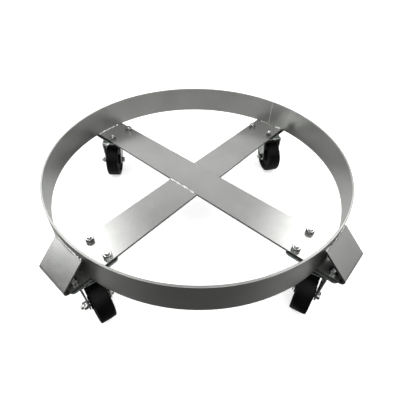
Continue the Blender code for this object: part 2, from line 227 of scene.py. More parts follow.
class Nodes:
    """Short calls for building a node tree."""

    def __init__(self, name):
        self.material = bpy.data.materials.new(name)
        self.material.use_nodes = True
        self.tree = self.material.node_tree
        self.shader = self.tree.nodes["Principled BSDF"]

    def add(self, kind, **settings):
        node = self.tree.nodes.new(kind)
        for key, value in settings.items():
            if key.startswith("in_"):
                node.inputs[key[3:].replace("_", " ").title()].default_value = value
            else:
                setattr(node, key, value)
        return node

    def link(self, source, target):
        self.tree.links.new(source, target)

    def place(self, stretch=(1, 1, 1)):
        coordinates = self.add("ShaderNodeTexCoord")
        mapping = self.add("ShaderNodeMapping")
        mapping.inputs["Scale"].default_value = stretch
        self.link(coordinates.outputs["Object"], mapping.inputs["Vector"])
        return mapping.outputs["Vector"]

    def noise(self, where, scale, detail=3.0, rough=0.5):
        node = self.add("ShaderNodeTexNoise", in_Scale=scale, in_Detail=detail, in_Roughness=rough)
        self.link(where, node.inputs["Vector"])
        return node.outputs["Fac"]

    def remap(self, value, low, high, to_low, to_high):
        node = self.add("ShaderNodeMapRange")
        for socket, number in zip(node.inputs[1:5], (low, high, to_low, to_high)):
            socket.default_value = number
        self.link(value, node.inputs["Value"])
        return node.outputs["Result"]

    def colours(self, value, *stops):
        ramp = self.add("ShaderNodeValToRGB")
        elements = ramp.color_ramp.elements
        while len(elements) < len(stops):
            elements.new(0.5)
        for element, (position, colour) in zip(elements, stops):
            element.position = position
            element.color = (*colour, 1)
        self.link(value, ramp.inputs["Fac"])
        return ramp.outputs["Color"]

    def mixed(self, factor, first, second):
        node = self.add("ShaderNodeMix", data_type="RGBA")
        self.link(factor, node.inputs["Factor"])
        for source, target in ((first, node.inputs[6]), (second, node.inputs[7])):
            if isinstance(source, tuple):
                target.default_value = (*source, 1)
            else:
                self.link(source, target)
        return node.outputs[2]

    def sum(self, first, second, share):
        node = self.add("ShaderNodeMath", operation="MULTIPLY_ADD")
        self.link(second, node.inputs[0])
        node.inputs[1].default_value = share
        self.link(first, node.inputs[2])
        return node.outputs["Value"]

    def bump(self, height, strength, distance):
        node = self.add("ShaderNodeBump", in_Strength=strength, in_Distance=distance)
        self.link(height, node.inputs["Height"])
        self.link(node.outputs["Normal"], self.shader.inputs["Normal"])

    def set(self, **values):
        for key, value in values.items():
            socket = self.shader.inputs[key.replace("_", " ").title().replace("Ior", "IOR")]
            if isinstance(value, tuple):
                socket.default_value = (*value, 1)
            elif isinstance(value, (int, float)):
                socket.default_value = value
            else:
                self.link(value, socket)


def silver_paint(name, dark, light, smooth, rough, metallic=1.0):
    """Silver-grey metallic powder coat: fine flake, a slight orange peel, and faint clouds of tone."""
    n = Nodes(name)
    where = n.place()
    flake = n.noise(where, 2600, 1.0)
    cloud = n.noise(where, 9, 4.0)
    tone = n.sum(cloud, flake, 0.35)
    n.set(
        base_color=n.colours(tone, (0.45, dark), (0.85, light)),
        metallic=metallic,
        roughness=n.remap(n.noise(where, 60, 3.0), 0.3, 0.7, smooth, rough),
    )
    n.bump(n.sum(n.noise(where, 380, 2.0), flake, 0.15), 0.05, 0.15 * MM)
    return n.material


def weld_paint():
    """The same coat over a weld bead, glossier where it has flowed, and given lighter greys than the bars as
    a painted highlight.
    """
    n = Nodes("painted_weld_with_painted_highlight")
    where = n.place()
    n.set(
        base_color=n.colours(n.noise(where, 300, 3.0), (0.3, (0.55, 0.55, 0.53)), (0.7, (0.88, 0.88, 0.86))),
        metallic=1.0,
        roughness=n.remap(n.noise(where, 200, 2.0), 0.3, 0.7, 0.12, 0.26),
    )
    n.bump(n.noise(where, 900, 3.0), 0.25, 0.3 * MM)
    return n.material


def zinc_plate(name, dark, light):
    """Zinc on pressed steel, faintly green and mottled."""
    n = Nodes(name)
    where = n.place()
    mottle = n.noise(where, 45, 5.0, 0.65)
    n.set(
        base_color=n.colours(mottle, (0.3, dark), (0.7, light)),
        metallic=1.0,
        roughness=n.remap(n.noise(where, 150, 3.0), 0.3, 0.7, 0.22, 0.34),
    )
    n.bump(n.noise(where, 700, 2.0), 0.08, 0.1 * MM)
    return n.material


def fastener_zinc(name, dark, light):
    """Plated nuts and bolts: shinier than the pressings, and mottled dark and light as painted reflection;
    the colours passed in make the hexagons near black (painted shade) and the thread ends light (painted
    highlight).
    """
    n = Nodes(name)
    where = n.place()
    n.set(
        base_color=n.colours(n.noise(where, 320, 2.0), (0.42, dark), (0.58, light)),
        metallic=1.0,
        roughness=n.remap(n.noise(where, 260, 2.0), 0.3, 0.7, 0.12, 0.24),
    )
    n.bump(n.noise(where, 1200, 2.0), 0.06, 0.1 * MM)
    return n.material


def turned_steel():
    """Plain machined steel with fine turning lines round its axis."""
    n = Nodes("turned_steel")
    where = n.place((40, 40, 1600))
    lines = n.noise(where, 1.0, 2.0)
    n.set(
        base_color=n.colours(lines, (0.3, (0.42, 0.42, 0.42)), (0.7, (0.56, 0.56, 0.55))),
        metallic=1.0,
        roughness=n.remap(lines, 0.3, 0.7, 0.25, 0.38),
    )
    n.bump(lines, 0.1, 0.05 * MM)
    return n.material


def black_wheel():
    """Black moulded wheel: a soft sheen, fine grain and a little dust."""
    n = Nodes("black_wheel")
    where = n.place()
    dust = n.remap(n.noise(where, 55, 5.0, 0.7), 0.55, 0.80, 0.0, 1.0)
    n.set(
        base_color=n.mixed(dust, (0.001, 0.001, 0.001), (0.006, 0.006, 0.0055)),
        roughness=n.remap(n.noise(where, 120, 3.0), 0.3, 0.7, 0.40, 0.52),
        specular_ior_level=0.10,
    )
    n.bump(n.noise(where, 1500, 2.0), 0.12, 0.1 * MM)
    return n.material


# The darkest and lightest colour of each finish.
BAR_GREYS = ((0.47, 0.475, 0.46), (0.56, 0.565, 0.55))
# The ring wears the bars' coat but is given darker greys: painted shade.
RING_GREYS_WITH_PAINTED_SHADE = ((0.34, 0.345, 0.33), (0.41, 0.415, 0.40))
# Near-black greys for the bars' sides and the insides of their folds: painted shade.
PAINTED_SHADE_GREYS = ((0.07, 0.07, 0.068), (0.13, 0.13, 0.125))
FORK_ZINC = ((0.36, 0.39, 0.37), (0.58, 0.60, 0.57))
# The caster plates' zinc is given darker than the fork's: painted shade.
PLATE_ZINC_WITH_PAINTED_SHADE = ((0.17, 0.195, 0.18), (0.30, 0.33, 0.31))
# One plating given as light thread ends and near-black hexagons: painted highlight and painted shade.
THREAD_ZINC_WITH_PAINTED_HIGHLIGHT = ((0.55, 0.56, 0.55), (0.85, 0.86, 0.84))
HEXAGON_ZINC_WITH_PAINTED_SHADE = ((0.03, 0.032, 0.03), (0.38, 0.39, 0.38))

MATERIALS = {
    "silver": silver_paint("silver_powder_coat", *BAR_GREYS, 0.22, 0.26, metallic=0.87),
    # The ring's darker coat is painted shade.
    "ring": silver_paint("silver_powder_coat_on_ring_with_painted_shade", *RING_GREYS_WITH_PAINTED_SHADE, 0.34, 0.39),
    # The weld's lighter greys are a painted highlight.
    "weld": weld_paint(),
    # The 'edge' finish is painted shade: a near-black coat on the bars' sides and fold insides.
    "edge": silver_paint("silver_powder_coat_with_painted_shade", *PAINTED_SHADE_GREYS, 0.34, 0.42),
    "zinc": zinc_plate("zinc_plated_fork", *FORK_ZINC),
    # The plates' darker zinc is painted shade.
    "plate": zinc_plate("zinc_plated_plate_with_painted_shade", *PLATE_ZINC_WITH_PAINTED_SHADE),
    # The thread and hexagon finishes are one zinc, given light (painted highlight) and near black (painted
    # shade).
    "bolt": fastener_zinc("zinc_plated_thread_with_painted_highlight", *THREAD_ZINC_WITH_PAINTED_HIGHLIGHT),
    "nut": fastener_zinc("zinc_plated_hexagon_with_painted_shade", *HEXAGON_ZINC_WITH_PAINTED_SHADE),
    "steel": turned_steel(),
    "black": black_wheel(),
}


# ---------------------------------------------------------------- ring and bars

EDGE = 0.6 * MM
SUPPORT = 0.4 * MM


def ring_mesh():
    mid_radius = (RING_INNER + RING_OUTER) / 2
    mid_height = (RING_LOW.z + RING_HIGH.z) / 2
    section = rounded_box(RING_THICK / 2, (RING_HIGH.z - RING_LOW.z) / 2, EDGE)
    return turned("ring", [(mid_radius + x, mid_height + z) for x, z in section], 384, closed=True, sharp=60)


FOLD_END = RING_OUTER + GAP


def fold_path():
    """Middle line of an arm's end in (radius, height), with slopes, from the flat to the fold's start."""
    centre = (BAR_REACH - BEND_RADIUS - BAR_THICK, BAR_TOP + BEND_RADIUS)
    radius = BEND_RADIUS + BAR_THICK / 2
    turn = math.pi - FOLD_ANGLE
    stations = [((centre[0] - SUPPORT, BAR_TOP - BAR_THICK / 2), 0)]
    steps = 20
    for i in range(steps + 1):
        slope = turn * i / steps
        a = slope - math.pi / 2
        stations.append(((centre[0] + radius * math.cos(a), centre[1] + radius * math.sin(a)), slope))
    (x, z), slope = stations[-1]
    stations.append(((x + SUPPORT * math.cos(slope), z + SUPPORT * math.sin(slope)), slope))
    return stations


def fold_top():
    """Height of the fold's outer face where it ends against the ring."""
    start_x = BAR_REACH - (BEND_RADIUS + BAR_THICK) * (1 - math.sin(FOLD_ANGLE))
    start_z = BAR_TOP + BEND_RADIUS + (BEND_RADIUS + BAR_THICK) * math.cos(FOLD_ANGLE)
    return start_z + (start_x - FOLD_END) * math.tan(FOLD_ANGLE)


def bar_section():
    """Across the bar: (sideways, outward), where outward is down on the flat."""
    return rounded_box(BAR_HALF, BAR_THICK / 2, EDGE)


def arm_loops():
    """Loops from the flat round the bend and up the fold to its upright end."""
    loops = []
    for (x, z), slope in fold_path():
        nx, nz = math.sin(slope), -math.cos(slope)
        loops.append([Vector((x + out * nx, side, z + out * nz)) for side, out in bar_section()])
    up_fold = Vector((-1, 0, math.tan(FOLD_ANGLE)))
    start = loops[-1]
    for end_x in (FOLD_END + SUPPORT, FOLD_END):
        loops.append([p + up_fold * (p.x - end_x) for p in start])
    return loops


def mirrored_order(section):
    """For each point of the section, the index of the point at the opposite side."""
    order = []
    for side, out in section:
        best = min(range(len(section)), key=lambda i: abs(section[i][0] + side) + abs(section[i][1] - out))
        order.append(best)
    return order


def cross_bar_mesh():
    """The left arm is the right one turned half round, so its loops are matched side for side."""
    right = arm_loops()
    order = mirrored_order(bar_section())
    left = [[Vector((-loop[k].x, -loop[k].y, loop[k].z)) for k in order] for loop in right]
    return loft("cross_bar", list(reversed(left)) + right, sharp=60)


def half_bar_mesh():
    start = BAR_HALF + GAP
    loops = arm_loops()
    butt = [Vector((start, p.y, p.z)) for p in loops[0]]
    return loft("half_bar", [butt] + loops, sharp=60)


# ---------------------------------------------------------------- weld beads


def bead_mesh(name, points, normals, half_width, height, seed, pitch=2.6 * MM, ends=3 * MM):
    """A weld bead along the points: overlapping ripples, swelling and thinning as it goes."""
    rng = random.Random(seed)
    shift = rng.uniform(0, 50)
    lengths = [0.0]
    for a, b in zip(points, points[1:]):
        lengths.append(lengths[-1] + (b - a).length)
    total = lengths[-1]
    steps = max(12, int(total / (0.35 * MM)))
    around = 14
    loops = []
    k = 0
    for i in range(steps + 1):
        s = total * i / steps
        while k < len(lengths) - 2 and lengths[k + 1] < s:
            k += 1
        t = (s - lengths[k]) / max(lengths[k + 1] - lengths[k], 1e-9)
        p = points[k].lerp(points[k + 1], t)
        tangent = (points[k + 1] - points[k]).normalized()
        normal = normals[k].lerp(normals[k + 1], t).normalized()
        across = tangent.cross(normal).normalized()
        taper = min(1.0, math.sqrt(max(0.02, min(s, total - s) / ends)))
        swell = 1 + 0.45 * noise.noise((s / (7 * MM) + shift, seed, 0.5))
        wander = 0.9 * MM * noise.noise((s / (9 * MM) + shift, seed, 7.5))
        loop = []
        for j in range(around):
            a = 2 * math.pi * j / around
            side, up = math.cos(a), math.sin(a)
            phase = s / pitch + 0.55 * side * side + 0.4 * noise.noise((s / (4 * MM), seed, 3.1))
            ripple = abs(math.sin(math.pi * phase))
            grow = taper * swell * (0.86 + 0.22 * ripple)
            rough = 1 + 0.10 * noise.noise((s / (1.3 * MM), 3 * side + shift, 3 * up))
            lift = height * up * grow * rough
            loop.append(p + across * (half_width * side * grow + wander) + normal * lift)
        loops.append(loop)
    return loft(name, loops, sharp=70)


def on_circle(radius, degrees, height):
    a = math.radians(degrees)
    return Vector((radius * math.cos(a), radius * math.sin(a), height))


def beads_along(name, spans, point_at, normal, half_width, height, seed, finish="weld"):
    """One piece with a bead over each span, where point_at gives the seam's place for a distance along it."""
    meshes = []
    count = 24
    for number, (start, end) in enumerate(spans):
        points = [point_at(start + (end - start) * i / count) for i in range(count + 1)]
        ends = min(3 * MM, (end - start) / 3)
        normals = [normal] * len(points)
        bead = bead_mesh(f"{name}_{number}", points, normals, half_width, height, seed + number, ends=ends)
        meshes.append(bead)
    return piece(name, joined(name, meshes, sharp=70), "frame", finish)


def inner_seam(arm_degrees):
    """Where the ring's inner face meets the top of an arm, by distance across the arm."""
    return lambda side: about_z(arm_degrees) @ Vector((math.sqrt(RING_INNER**2 - side**2), side, BAR_TOP))


def fold_seam(arm_degrees):
    """Where a fold's end meets the ring's outer face, by distance across the arm."""
    def point(side):
        ring_x = math.sqrt(RING_OUTER**2 - side**2)
        return about_z(arm_degrees) @ Vector((0.5 * (ring_x + FOLD_END), side, fold_top() - 0.6 * MM))
    return point


def along_bar(y):
    """The seam between the through bar and a half bar, by distance along the through bar."""
    return lambda distance: Vector((distance, y, BAR_TOP))


def has_painted_shade(centre):
    """Whether a bar's face is on its sheared side or inside its fold: these faces take the near-black finish,
    which is painted shade.
    """
    reach = abs(centre.x) - FOLD_END
    fold_middle = fold_top() - reach * math.tan(FOLD_ANGLE) - BAR_THICK / 2 / math.cos(FOLD_ANGLE)
    in_fold = reach > 0 and BAR_TOP - MM < centre.z < fold_middle
    return in_fold or abs(centre.y) > BAR_HALF - 0.8 * EDGE


def add_frame():
    piece("ring_band", ring_mesh(), "frame", "ring", ["ring"])
    # The bars' sides and fold insides take the 'edge' finish, which is painted shade.
    through = painted(cross_bar_mesh(), "silver", "edge", has_painted_shade)
    piece("through_bar", through, "frame", "silver", ["cross_bar"])
    half = painted(half_bar_mesh(), "silver", "edge", has_painted_shade)
    piece("front_bar", half, "frame", "silver", ["front_half_bar"], about_z(270))
    piece("back_bar", half, "frame", "silver", ["back_half_bar"], about_z(90))


def in_mm(*spans):
    return [(start * MM, end * MM) for start, end in spans]


# Half width and height of each kind of bead.
FOLD_BEAD = (2.3 * MM, 1.5 * MM)
INNER_BEAD = (2.3 * MM, 1.7 * MM)
COARSE_BEAD = (3.3 * MM, 2.3 * MM)
FLAT_BEAD = (1.3 * MM, 0.3 * MM)
SEAM_BEAD = (1.1 * MM, 0.35 * MM)
# Where round the ring its two ends are joined, in degrees.
RING_SEAM = 90.5


def add_welds():
    inner_spans = {
        "right": in_mm((-37, 37)),
        "back": in_mm((-33, -15), (-10, -6), (-3, 1), (6, 11), (14, 18), (22, 27)),
        "left": in_mm((-26, -18), (-14, 38)),
        "front": in_mm((-37, 37)),
    }
    fold_spans = {
        "right": in_mm((-37, -20), (-16, -12), (-4, 1), (8, 14), (17, 37)),
        "back": in_mm((-36, 36)),
        "left": in_mm((-36, 36)),
        "front": in_mm((-37, 20), (24, 28), (32, 35)),
    }
    for number, side in enumerate(SIDES):
        degrees = 90 * number
        arm = about_z(degrees)
        outward, inward = arm @ Vector((0.6, 0, 0.8)), arm @ Vector((-0.7, 0, 0.7))
        seed = 3 + 20 * number
        fold, inner = fold_seam(degrees), inner_seam(degrees)
        beads_along(f"{side}_fold_weld", fold_spans[side], fold, outward, *FOLD_BEAD, seed)
        beads_along(f"{side}_inner_weld", inner_spans[side], inner, inward, *INNER_BEAD, seed + 10)
    up = Vector((0, 0, 1))
    front_spans = in_mm((-41, -24), (-25, -8), (-9, 14), (15, 31))
    beads_along("front_bar_weld", front_spans, along_bar(-BAR_HALF - 0.8 * MM), up, *COARSE_BEAD, 91)
    beads_along("back_bar_weld", in_mm((-35, 35)), along_bar(BAR_HALF), up, *FLAT_BEAD, 97, "silver")
    height_span = [(RING_LOW.z + MM, RING_HIGH.z - 0.4 * MM)]
    inward = on_circle(-1, RING_SEAM, 0)

    def seam(height):
        return on_circle(RING_INNER, RING_SEAM, height)

    beads_along("ring_seam_weld", height_span, seam, inward, *SEAM_BEAD, 71, "silver")


# ---------------------------------------------------------------- fasteners


def chamfered_hex(name, flats, bottom, top, chamfer_bottom, chamfer_top):
    """A hexagon whose corners are turned off to a cone at the ends asked for, as on a real nut."""
    inner = flats / 2 * 0.95
    around = 72
    angles = [2 * math.pi * i / around for i in range(around)]
    low, high = [], []
    for a in angles:
        reach = flats / 2 / math.cos((a + math.pi / 6) % (math.pi / 3) - math.pi / 6)
        cut = (reach - inner) * math.tan(math.radians(30))
        low.append((reach * math.cos(a), reach * math.sin(a), bottom + cut * chamfer_bottom))
        high.append((reach * math.cos(a), reach * math.sin(a), top - cut * chamfer_top))
    loops = [low, high]
    if chamfer_bottom:
        loops.insert(0, [(inner * math.cos(a), inner * math.sin(a), bottom) for a in angles])
    if chamfer_top:
        loops.append([(inner * math.cos(a), inner * math.sin(a), top) for a in angles])
    return loft(name, loops, sharp=24)


def thread_mesh(name, radius, bottom, top, pitch=1.6 * MM, depth=0.55 * MM, chamfer=0.8 * MM):
    """A bolt's threaded end, with a chamfered tip at the top."""
    around = 36
    per_turn = 8
    rows = int((top - bottom) / pitch * per_turn)
    loops = []
    for i in range(rows + 1):
        z = bottom + (top - bottom) * i / rows
        loop = []
        for j in range(around):
            a = 2 * math.pi * j / around
            wave = abs(((z / pitch - j / around) % 1) * 2 - 1)
            r = radius - depth * wave
            r = min(r, radius - chamfer + (top - z))
            loop.append((r * math.cos(a), r * math.sin(a), z))
        loops.append(loop)
    return loft(name, loops, sharp=50)


def cylinder(name, radius, bottom, top, segments):
    """Plain round solid about the Z axis."""
    return turned(name, [(0, top), (radius, top), (radius, bottom), (0, bottom)], segments)


def plate_bolt_mesh():
    """Hexagon bolt from below, and its nut and thread end on top of the bar."""
    low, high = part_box("right_plate_bolt_1")
    head_height, flats, radius = 6 * MM, 14.3 * MM, 4.76 * MM
    head_top = low.z + head_height
    nut_bottom = BAR_TOP + GAP
    nut_top = nut_bottom + 8.2 * MM
    head = chamfered_hex("head", flats, low.z, head_top - 0.4 * MM, 1, 0)
    face_bottom = head_top - 0.6 * MM
    face_profile = [(0, head_top), (6.7 * MM, head_top), (6.9 * MM, face_bottom), (0, face_bottom)]
    washer_face = turned("face", face_profile, 48)
    shank = cylinder("shank", radius, head_top - MM, nut_bottom + MM, 32)
    nut = chamfered_hex("nut", flats, nut_bottom, nut_top, 1, 1)
    thread = thread_mesh("thread", radius, nut_top - 1.5 * MM, high.z)
    bolt = joined("plate_bolt", [head, washer_face, shank, nut, thread], sharp=24)

    def is_thread(centre):
        return centre.xy.length < radius + 0.1 * MM and centre.z > nut_top - MM

    # Thread faces take the light finish (painted highlight) and the rest take the near-black one (painted
    # shade).
    return painted(bolt, "nut", "bolt", is_thread)


AXLE_FLATS = 12.7 * MM
AXLE_FACE = FORK_HALF + GAP


def axle_bolt_mesh():
    head_height, radius = 5.3 * MM, 4 * MM
    tip = AXLE_FACE + 12 * MM
    head = chamfered_hex("head", AXLE_FLATS, AXLE_FACE + 0.3 * MM, AXLE_FACE + head_height, 0, 1)
    face = cylinder("face", 5.9 * MM, AXLE_FACE, AXLE_FACE + MM, 40)
    shank = cylinder("shank", radius, -AXLE_FACE, AXLE_FACE + MM, 32)
    thread = thread_mesh("thread", radius, AXLE_FACE - MM, tip, 1.3 * MM, 0.45 * MM, 0.7 * MM)
    thread = moved(thread, Matrix.Rotation(math.pi, 4, "X"))
    bolt = joined("axle_bolt", [head, face, shank, thread], sharp=24)
    # Thread faces take the light finish (painted highlight) and the rest take the near-black one (painted
    # shade).
    return moved(painted(bolt, "nut", "bolt", lambda centre: centre.z < 0), ALONG_AXLE)


def axle_nut_mesh():
    body = chamfered_hex("nut", AXLE_FLATS, -(AXLE_FACE + 7.5 * MM), -AXLE_FACE, 1, 1)
    return moved(body, ALONG_AXLE)


# ---------------------------------------------------------------- casters


def plate_mesh():
    """Caster plate with rounded corners and edges, and the pressed cup of its ball race below."""
    half_x, half_y = (PLATE_HIGH.x - PLATE_LOW.x) / 2, (PLATE_HIGH.y - PLATE_LOW.y) / 2
    corner, edge = 8 * MM, 0.5 * MM
    soft = 0.3 * edge
    flat = edge + 0.3 * MM
    top = PLATE_HIGH.z
    loops = []
    for inset, z in (
        (flat, PLATE_BOTTOM), (edge, PLATE_BOTTOM), (soft, PLATE_BOTTOM + soft), (0, PLATE_BOTTOM + edge),
        (0, top - edge), (soft, top - soft), (edge, top), (flat, top),
    ):
        outline = rounded_box(half_x - inset, half_y - inset, corner - inset, 8, 1 * MM)
        loops.append([(x, y, z) for x, y in outline])
    slab = loft("slab", loops, sharp=60)
    low = CROWN_TOP + 0.9 * MM
    cup = [(0, PLATE_BOTTOM + MM), (29.5 * MM, PLATE_BOTTOM + MM), (29 * MM, PLATE_BOTTOM - 0.3 * MM)]
    cup += arc((26.5 * MM, PLATE_BOTTOM - 0.4 * MM), 2.0 * MM, 0, -math.pi / 2, 6)
    floor = PLATE_BOTTOM - 1.6 * MM
    cup += [(24 * MM, PLATE_BOTTOM - 2.4 * MM), (22.5 * MM, floor), (0, floor)]
    cup_mesh = turned("cup", [(r, max(z, low + 1.3 * MM)) for r, z in cup], 72)
    return joined("caster_plate", [slab, cup_mesh], sharp=40)


def fork_outline_at(height):
    """How far the fork's leg reaches to the rear and the front of the king pin, at a height."""
    axle_x, axle_z = 38 * MM, WHEEL_RADIUS
    def line(top_x, side):
        dx, dz = top_x - axle_x, CROWN_TOP - axle_z
        a = math.atan2(dz, dx) + side * math.acos(FOOT_RADIUS / math.hypot(dx, dz))
        return (axle_x + FOOT_RADIUS * math.cos(a), axle_z + FOOT_RADIUS * math.sin(a))
    front_touch = line(FORK_FRONT, -1)
    rear_touch = line(-FORK_REAR, 1)
    def reach(top_x, touch, side):
        if height >= touch[1]:
            t = (height - touch[1]) / (CROWN_TOP - touch[1])
            return touch[0] + t * (top_x - touch[0])
        inside = FOOT_RADIUS**2 - (height - axle_z) ** 2
        return axle_x + side * math.sqrt(max(inside, 0))
    return reach(-FORK_REAR, rear_touch, -1), reach(FORK_FRONT, front_touch, 1)


def fork_half_at(height):
    """Half the fork's width at a height: straight past the axle, then spreading to the crown."""
    start, end = WHEEL_RADIUS + FORK_STRAIGHT, CROWN_TOP - FORK_BEND
    share = min(max((height - start) / (end - start), 0.0), 1.0)
    return FORK_HALF + (FORK_CROWN_HALF - FORK_HALF) * share


def drilled(mesh, radius, low, high):
    """A mesh with a round hole along Z through the part of it between two heights."""
    bit = turned("bit", [(0, low), (radius, low), (radius, high), (0, high)], 72)
    target, cutter = (bpy.data.objects.new(m.name, m) for m in (mesh, bit))
    for obj in (target, cutter):
        bpy.context.scene.collection.objects.link(obj)
    cut = target.modifiers.new("hole", "BOOLEAN")
    cut.operation = "DIFFERENCE"
    cut.solver = "EXACT"
    cut.object = cutter
    graph = bpy.context.evaluated_depsgraph_get()
    result = bpy.data.meshes.new_from_object(target.evaluated_get(graph), depsgraph=graph)
    for obj in (target, cutter):
        bpy.data.objects.remove(obj)
    return result


def fork_mesh():
    """Pressed fork: one bent sheet from foot to foot over the crown, with the lower race round its middle."""
    stations = []
    half_thick = FORK_THICK / 2
    bend = FORK_BEND - half_thick
    foot = WHEEL_RADIUS - FOOT_RADIUS
    leg_top = CROWN_TOP - FORK_BEND
    steps = 14
    heights = [WHEEL_RADIUS - FOOT_RADIUS * math.cos(math.pi / 2 * i / steps) for i in range(steps)]
    heights += [WHEEL_RADIUS + FORK_STRAIGHT * i / 3 for i in range(4)]
    spread_start = WHEEL_RADIUS + FORK_STRAIGHT
    heights += [spread_start + (leg_top - spread_start) * i / 6 for i in range(1, 7)]
    for z in heights:
        stations.append((fork_half_at(z) - half_thick, max(z, foot + 0.02 * MM), (1, 0)))
    crown_bend = FORK_CROWN_HALF - FORK_BEND
    for i in range(1, 9):
        a = math.pi / 2 * i / 8
        outward = (math.cos(a), math.sin(a))
        stations.append((crown_bend + bend * outward[0], leg_top + bend * outward[1], outward))
    stations += [(-y, z, (-out[0], out[1])) for y, z, out in reversed(stations)]
    loops = []
    edge = 0.4 * MM
    for y, z, (oy, oz) in stations:
        rear, front = fork_outline_at(min(z + half_thick * oz, CROWN_TOP))
        half_x = max((front - rear) / 2, 0.45 * MM)
        mid_x = (front + rear) / 2
        section = rounded_box(half_x, half_thick, min(edge, half_x * 0.9), 3, min(0.3 * MM, half_x * 0.1))
        loops.append([(mid_x + x, y + out * oy, z + out * oz) for x, out in section])
    sheet = loft("sheet", loops, sharp=60)
    sheet = drilled(sheet, PIN_HOLE, CROWN_TOP - 2 * FORK_THICK, CROWN_TOP + FORK_THICK)
    proud = 0.15 * MM
    disc_top, disc_bottom = CROWN_TOP + proud, CROWN_TOP - FORK_THICK - proud
    disc = [(PIN_HOLE, disc_top), (15 * MM, disc_top), (17 * MM, CROWN_TOP + 0.1 * MM)]
    disc += arc((26 * MM, CROWN_TOP - 0.7 * MM), 1.6 * MM, math.pi / 2, -math.pi / 2, 8)
    disc += [(18 * MM, disc_bottom), (PIN_HOLE, disc_bottom)]
    crown = turned("crown", [(r, min(z, disc_top)) for r, z in disc], 72, closed=True)
    return joined("fork", [sheet, crown], sharp=40)


def wheel_mesh():
    """Moulded wheel: slightly crowned tread, rounded shoulders, recessed webs and a hub."""
    crown = 0.25 * MM
    half = WHEEL_HALF
    shoulder = 3 * MM
    tread_edge = WHEEL_RADIUS - crown
    upper = [(WHEEL_RADIUS, 0.3 * MM), (WHEEL_RADIUS - 0.04 * MM, 5 * MM), (tread_edge, half - shoulder - MM)]
    upper += arc((tread_edge - shoulder, half - shoulder), shoulder, 0, math.pi / 2, 8)
    upper += [(36.5 * MM, half), (36.2 * MM, half - 0.3 * MM), (33.6 * MM, half - 0.3 * MM)]
    upper += [(33.0 * MM, half - 0.9 * MM), (32.2 * MM, 11.6 * MM), (31.4 * MM, 11 * MM), (15 * MM, 11 * MM)]
    upper += [(14.2 * MM, 11.4 * MM), (13 * MM, HUB_HALF - 0.6 * MM), (12.4 * MM, HUB_HALF)]
    upper += [(6.9 * MM, HUB_HALF), (6.5 * MM, HUB_HALF - 0.4 * MM)]
    profile = [(r, -h) for r, h in reversed(upper)] + upper
    return moved(turned("wheel", profile, 128, closed=True, sharp=35), ALONG_AXLE)


def balls_mesh():
    """The balls of the swivel race, side by side on their circle."""
    low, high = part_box("right_ball_race")
    radius = (high.z - low.z) / 2
    circle = 20 * MM
    count = 26
    shells = []
    for i in range(count):
        a = 2 * math.pi * i / count
        profile = arc((0, 0), radius, math.pi / 2, -math.pi / 2, 8)
        ball = turned("ball", [(max(r, 0), z) for r, z in profile], 16)
        shells.append(moved(ball, at(circle * math.cos(a), circle * math.sin(a), (low.z + high.z) / 2)))
    return joined("balls", shells)


def sleeve_mesh():
    inner, outer, half = 4.4 * MM, 6.2 * MM, 18.6 * MM
    c = 0.3 * MM
    profile = [(outer, half - c), (outer, -half + c), (outer - c, -half), (inner + c, -half)]
    profile += [(inner, -half + c), (inner, half - c), (inner + c, half), (outer - c, half)]
    return moved(turned("sleeve", profile, 48, closed=True), ALONG_AXLE)


def king_pin_mesh():
    """Riveted king pin, whose domed head shows under the crown."""
    low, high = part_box("right_king_pin")
    head = low.z + 4 * MM
    profile = [(0, high.z), (8 * MM, high.z), (8.5 * MM, high.z - 0.5 * MM), (8.5 * MM, high.z - 1.5 * MM)]
    profile += [(5 * MM, high.z - 1.5 * MM), (5 * MM, head), (9 * MM, head), (9 * MM, head - 1.2 * MM)]
    profile += [(8 * MM, low.z + 1.2 * MM), (6 * MM, low.z + 0.35 * MM)]
    profile += [(3 * MM, low.z + 0.05 * MM), (0, low.z)]
    return turned("king_pin", profile, 48)


def add_casters():
    meshes = {
        "plate": plate_mesh(),
        "bolt": plate_bolt_mesh(),
        "pin": king_pin_mesh(),
        "fork": fork_mesh(),
        "balls": balls_mesh(),
        "sleeve": sleeve_mesh(),
        "axle": axle_bolt_mesh(),
        "nut": axle_nut_mesh(),
        "wheel": wheel_mesh(),
    }
    rng = random.Random(11)
    for number, side in enumerate(SIDES):
        arm = about_z(90 * number)
        x, y, _ = swivels[side]["pos_m"]
        wheel_x, wheel_y, wheel_z = spins[side]["pos_m"]
        trail = math.degrees(math.atan2(wheel_y - y, wheel_x - x))
        pin = at(x, y, 0) @ arm
        swivel = at(x, y, 0) @ about_z(trail)
        axle = at(wheel_x, wheel_y, wheel_z) @ about_z(trail)
        fork_body, wheel_body = f"{side}_caster_fork", f"{side}_caster_wheel"
        piece(f"{side}_caster_plate", meshes["plate"], "frame", "plate", [f"{side}_top_plate"], pin)
        piece(f"{side}_rivet", meshes["pin"], "frame", "steel", [f"{side}_king_pin"], pin)
        for k in range(1, 5):
            low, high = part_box(f"{side}_plate_bolt_{k}")
            place = at((low.x + high.x) / 2, (low.y + high.y) / 2, 0) @ about_z(rng.uniform(0, 60))
            nodes = [f"{side}_plate_bolt_{k}"]
            piece(f"{side}_bolt_and_nut_{k}", meshes["bolt"], "frame", "bolt", nodes, place)
        piece(f"{side}_caster_yoke", meshes["fork"], fork_body, "zinc", [f"{side}_fork"], swivel)
        piece(f"{side}_balls", meshes["balls"], fork_body, "steel", [f"{side}_ball_race"], swivel)
        piece(f"{side}_sleeve", meshes["sleeve"], fork_body, "steel", [f"{side}_axle_sleeve"], axle)
        piece(f"{side}_axle", meshes["axle"], fork_body, "bolt", [f"{side}_axle_bolt"], axle)
        piece(f"{side}_lock_nut", meshes["nut"], fork_body, "nut", [f"{side}_axle_nut"], axle)
        piece(f"{side}_roller", meshes["wheel"], wheel_body, "black", [f"{side}_wheel"], axle)


add_frame()
add_welds()
add_casters()


